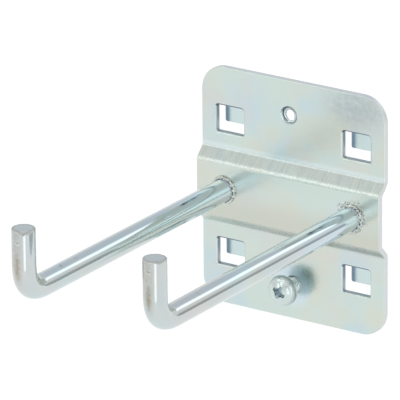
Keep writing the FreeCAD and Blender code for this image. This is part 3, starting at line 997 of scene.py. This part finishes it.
class HOOK_OT_spare_thread(bpy.types.Operator):
    """Cut thread turns into the spare tapped hole"""

    bl_idname = "hook.spare_thread"
    bl_label = "Spare thread"

    def execute(self, context):
        thread = context.scene.hook_thread
        foot = SPARE_HOLE["dims"]["r_mm"] * MM + thread.bore_sink
        ridge = grown_mesh("spare_thread", thread_tree(), {
            "Turns": SPARE_TURNS, "Pitch": thread.pitch, "Foot radius": foot,
            "Ridge height": thread.bore / 2 - foot, "Foot width": thread.foot_width,
            "Crest width": thread.bore_crest, "Start": (SPARE_X, SPARE_START, SPARE_Z),
            "Material": finish("Zinc_plated_tapped_thread")})
        # The ridge runs out where the hole's entries cut it away
        build = bmesh.new()
        build.from_mesh(ridge)
        for y, way in SPARE_CUTS:
            bmesh.ops.bisect_plane(
                build, geom=build.verts[:] + build.edges[:] + build.faces[:], dist=1e-7,
                plane_co=(SPARE_X, y, SPARE_Z), plane_no=(0, way, 0), clear_outer=True)
            bmesh.ops.holes_fill(build, edges=[e for e in build.edges if e.is_boundary], sides=0)
        bmesh.ops.recalc_face_normals(build, faces=build.faces)
        build.to_mesh(ridge)
        build.free()
        new_piece("spare_thread", ridge, BODY)
        return {"FINISHED"}


# Soft panels of the light tent: direction, inner and outer half angle in degrees, tint, level
TENT = [
    ((-0.25, 0.77, 0.58), 12, 28, "#DFE8F4", 0.92),
    ((0.63, 0.77, 0.07), 3, 12, "#DDE2E6", 0.65),
    ((-0.42, -0.8, 0.4), 12, 21, "#FFFFFF", 1.6),
    ((0.64, -0.76, 0.12), 9, 20, "#F2FAFF", 1.8),
    ((0.3, 0.77, 0.55), 5, 11, "#EEF7FF", 1.75),
]
# Low fill lamps: name, place, aim, width, height, power
LAMPS = [
    ("low_fill", (0.45, -0.62, -0.2), (0.0, -0.05, 0.0), 0.3, 0.22, 0.07),
    ("low_fill_core", (0.43, -0.6, -0.2), (0.0, -0.05, 0.0), 0.15, 0.2, 0.03),
]
# Bright faces close together show each other many times over
GLOSSY_BOUNCES = 12


def studio_floor(stage):
    """Wide floor of white paper that glows a little, under the object."""
    build = bmesh.new()
    bmesh.ops.create_grid(build, x_segments=1, y_segments=1, size=stage.floor_size)
    bmesh.ops.translate(build, verts=build.verts, vec=(0, 0, CAD_BOX[0][2] - stage.floor_drop))
    mesh = mesh_from(build, "floor")
    paper = bpy.data.materials.new("White_studio_paper")
    paper.use_nodes = True
    tree = paper.node_tree
    tree.nodes.clear()
    surface = add_node(tree, "ShaderNodeBsdfPrincipled", {
        "Base Color": stage.floor, "Roughness": 0.9, "Emission Color": (1, 1, 1),
        "Emission Strength": stage.floor_glow})
    add_node(tree, "ShaderNodeOutputMaterial", {"Surface": surface})
    mesh.materials.append(paper)
    return bpy.data.objects.new("floor", mesh)


def light_tent(stage):
    """World that is a pale tent with softly edged panels of light."""
    world = bpy.data.worlds.new("Light_tent")
    world.use_nodes = True
    tree = world.node_tree
    tree.nodes.clear()
    way = add_node(tree, "ShaderNodeTexCoord").outputs["Generated"]
    panels = []
    for axis, inner, outer, code, level in TENT:
        near = add_node(tree, "ShaderNodeVectorMath", {
            0: way, 1: Vector(axis).normalized()}, operation="DOT_PRODUCT")
        share = add_node(tree, "ShaderNodeMapRange", {
            "Value": near, "From Min": math.cos(math.radians(outer)),
            "From Max": math.cos(math.radians(inner))}, interpolation_type=SOFT)
        panels.append((share, tuple(level * channel for channel in hex_colour(code))))
    tent = coated(tree, (stage.tent, stage.tent, stage.tent), panels)
    glow = add_node(tree, "ShaderNodeBackground", {"Color": tent, "Strength": 1.0})
    add_node(tree, "ShaderNodeOutputWorld", {"Surface": glow})
    return world


def fill_lamp(name, place, aim, wide, tall, power):
    """Rectangular lamp that the camera doesn't see."""
    light = bpy.data.lights.new(name, "AREA")
    light.shape = "RECTANGLE"
    light.size = wide
    light.size_y = tall
    light.energy = power
    lamp = bpy.data.objects.new(name, light)
    lamp.location = place
    lamp.rotation_euler = (Vector(place) - Vector(aim)).to_track_quat("Z", "Y").to_euler()
    lamp.visible_camera = False
    return lamp


def photo_camera(stage):
    """Camera that looks as the photograph's did."""
    right = Vector((math.cos(stage.azimuth), math.sin(stage.azimuth), 0))
    level = math.cos(stage.elevation)
    back = Vector((
        math.sin(stage.azimuth) * level, -math.cos(stage.azimuth) * level, math.sin(stage.elevation)))
    up = back.cross(right)
    target = right * stage.aim_right + up * stage.aim_up
    lens = bpy.data.cameras.new("camera")
    lens.sensor_width = 36
    lens.lens = stage.lens
    lens.clip_start = 0.05
    lens.clip_end = 20
    camera = bpy.data.objects.new("camera", lens)
    facing = Matrix((right, up, back)).transposed().to_4x4()
    camera.matrix_world = (Matrix.Translation(target + back * stage.distance) @ facing
                           @ Matrix.Rotation(stage.roll, 4, "Z"))
    return camera


class HOOK_OT_stage(bpy.types.Operator):
    """Set up the floor, the soft light and the camera"""

    bl_idname = "hook.stage"
    bl_label = "Stage"

    def execute(self, context):
        scene = context.scene
        stage = scene.hook_stage
        scene.view_settings.view_transform = "Standard"
        floor = studio_floor(stage)
        camera = photo_camera(stage)
        for thing in (floor, *(fill_lamp(*row) for row in LAMPS), camera):
            scene.collection.objects.link(thing)
        scene.world = light_tent(stage)
        scene.cycles.glossy_bounces = GLOSSY_BOUNCES
        scene.camera = camera
        return {"FINISHED"}


class HOOK_PT_sidebar(bpy.types.Panel):
    """Lists the steps and settings of the panel hook"""

    bl_label = "Panel hook"
    bl_idname = "HOOK_PT_sidebar"
    bl_space_type = "VIEW_3D"
    bl_region_type = "UI"
    bl_category = "Panel hook"

    def draw(self, context):
        for step in OPERATORS:
            self.layout.operator(step.bl_idname)
        for name in SETTINGS:
            group = getattr(context.scene, name)
            box = self.layout.box()
            for prop in group.bl_rna.properties:
                if not prop.is_readonly and prop.identifier != "name":
                    box.prop(group, prop.identifier)


SETTINGS = {
    "hook_zinc": ZincSettings,
    "hook_bar": BarSettings,
    "hook_weld": WeldSettings,
    "hook_thread": ThreadSettings,
    "hook_stage": StageSettings,
}
OPERATORS = (HOOK_OT_plate, HOOK_OT_bars, HOOK_OT_welds, HOOK_OT_screw, HOOK_OT_spare_thread, HOOK_OT_stage)


def register():
    """Registers the settings, the steps and the sidebar."""
    for kind in (*SETTINGS.values(), *OPERATORS, HOOK_PT_sidebar):
        bpy.utils.register_class(kind)
    for name, kind in SETTINGS.items():
        setattr(bpy.types.Scene, name, bpy.props.PointerProperty(type=kind))


def unregister():
    """Removes what register added."""
    for name in SETTINGS:
        delattr(bpy.types.Scene, name)
    for kind in (HOOK_PT_sidebar, *OPERATORS, *SETTINGS.values()):
        bpy.utils.unregister_class(kind)


def main():
    """Builds every piece and the stage."""
    register()
    bpy.ops.hook.plate()
    bpy.ops.hook.bars()
    bpy.ops.hook.welds()
    bpy.ops.hook.screw()
    bpy.ops.hook.spare_thread()
    bpy.ops.hook.stage()


if __name__ == "__main__":
    main()
